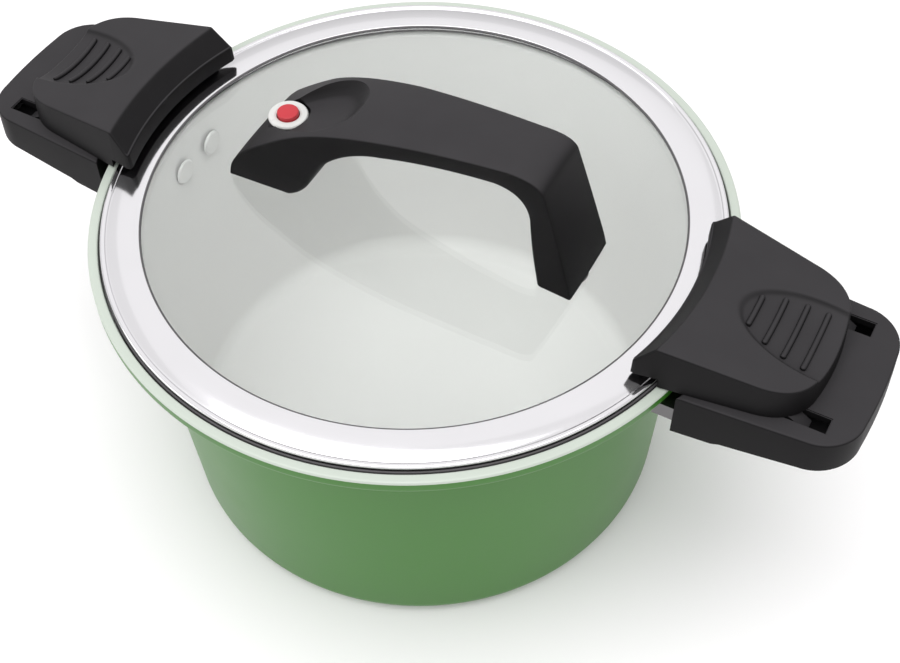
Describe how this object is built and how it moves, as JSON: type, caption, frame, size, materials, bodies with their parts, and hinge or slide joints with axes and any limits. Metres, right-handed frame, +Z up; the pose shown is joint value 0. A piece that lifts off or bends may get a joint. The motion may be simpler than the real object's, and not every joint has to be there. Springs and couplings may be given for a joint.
{
  "type": "pressure canner",
  "caption": "Low-pressure stewing pot with a glass lid in a steel band, two sliding locks on side grips and a bridge handle with a release button.",
  "frame": {"origin": "centre of the foot, on the plane the pot stands on", "axes": "+X through the right grip (the end of the lid handle without the valve), +Z up along the pot's axis, the valve on the -X side"},
  "size_m": [0.4026, 0.2696, 0.2013],
  "materials": {
    "green_enamel": "pressed aluminium with a satin green ceramic coat outside and a pale ceramic coat on the rim and inside",
    "polished_steel": "mirror polished stainless steel",
    "satin_steel": "satin stainless steel",
    "black_plastic": "fine-grained matt black phenolic",
    "clear_glass": "clear tempered glass",
    "grey_silicone": "matt dark grey silicone",
    "red_plastic": "satin red plastic",
    "white_plastic": "satin white plastic"
  },
  "bodies": {
    "pot": {"pot_body": "green_enamel", "base_plate": "satin_steel", "right_bracket": "satin_steel", "right_rivet_a": "satin_steel", "right_rivet_b": "satin_steel", "right_grip": "black_plastic", "right_grip_cover": "black_plastic", "right_bracket_screw": "satin_steel", "right_cover_screw": "satin_steel", "right_detent_spring": "satin_steel", "left_bracket": "satin_steel", "left_rivet_a": "satin_steel", "left_rivet_b": "satin_steel", "left_grip": "black_plastic", "left_grip_cover": "black_plastic", "left_bracket_screw": "satin_steel", "left_cover_screw": "satin_steel", "left_detent_spring": "satin_steel"},
    "right_lock": {"right_lock_slider": "black_plastic", "right_lock_plate": "satin_steel", "right_lock_screw_a": "satin_steel", "right_lock_screw_b": "satin_steel"},
    "left_lock": {"left_lock_slider": "black_plastic", "left_lock_plate": "satin_steel", "left_lock_screw_a": "satin_steel", "left_lock_screw_b": "satin_steel"},
    "lid": {"lid_glass": "clear_glass", "lid_band": "polished_steel", "lid_gasket": "grey_silicone", "lid_handle": "black_plastic", "lid_handle_screw": "satin_steel", "lid_handle_washer": "grey_silicone", "valve_sleeve": "polished_steel", "valve_cap": "white_plastic", "valve_nut": "satin_steel", "valve_seal": "grey_silicone", "valve_spring": "satin_steel"},
    "button": {"valve_button": "red_plastic", "valve_stem": "satin_steel", "valve_plug": "grey_silicone"}
  },
  "joints": [
    {"name": "right_lock_slide", "type": "slide", "parent": "pot", "child": "right_lock", "axis": [1, 0, 0], "range_m": [0, 0.012]},
    {"name": "left_lock_slide", "type": "slide", "parent": "pot", "child": "left_lock", "axis": [-1, 0, 0], "range_m": [0, 0.012]},
    {"name": "lid_lift", "type": "slide", "parent": "pot", "child": "lid", "axis": [0, 0, 1], "range_m": [0, 0.0025]},
    {"name": "button_press", "type": "slide", "parent": "lid", "child": "button", "axis": [0, 0, -1], "range_m": [0, 0.002], "stiffness_N_per_m": 150, "springref_m": -0.002, "deforming": ["valve_spring"]}
  ]
}
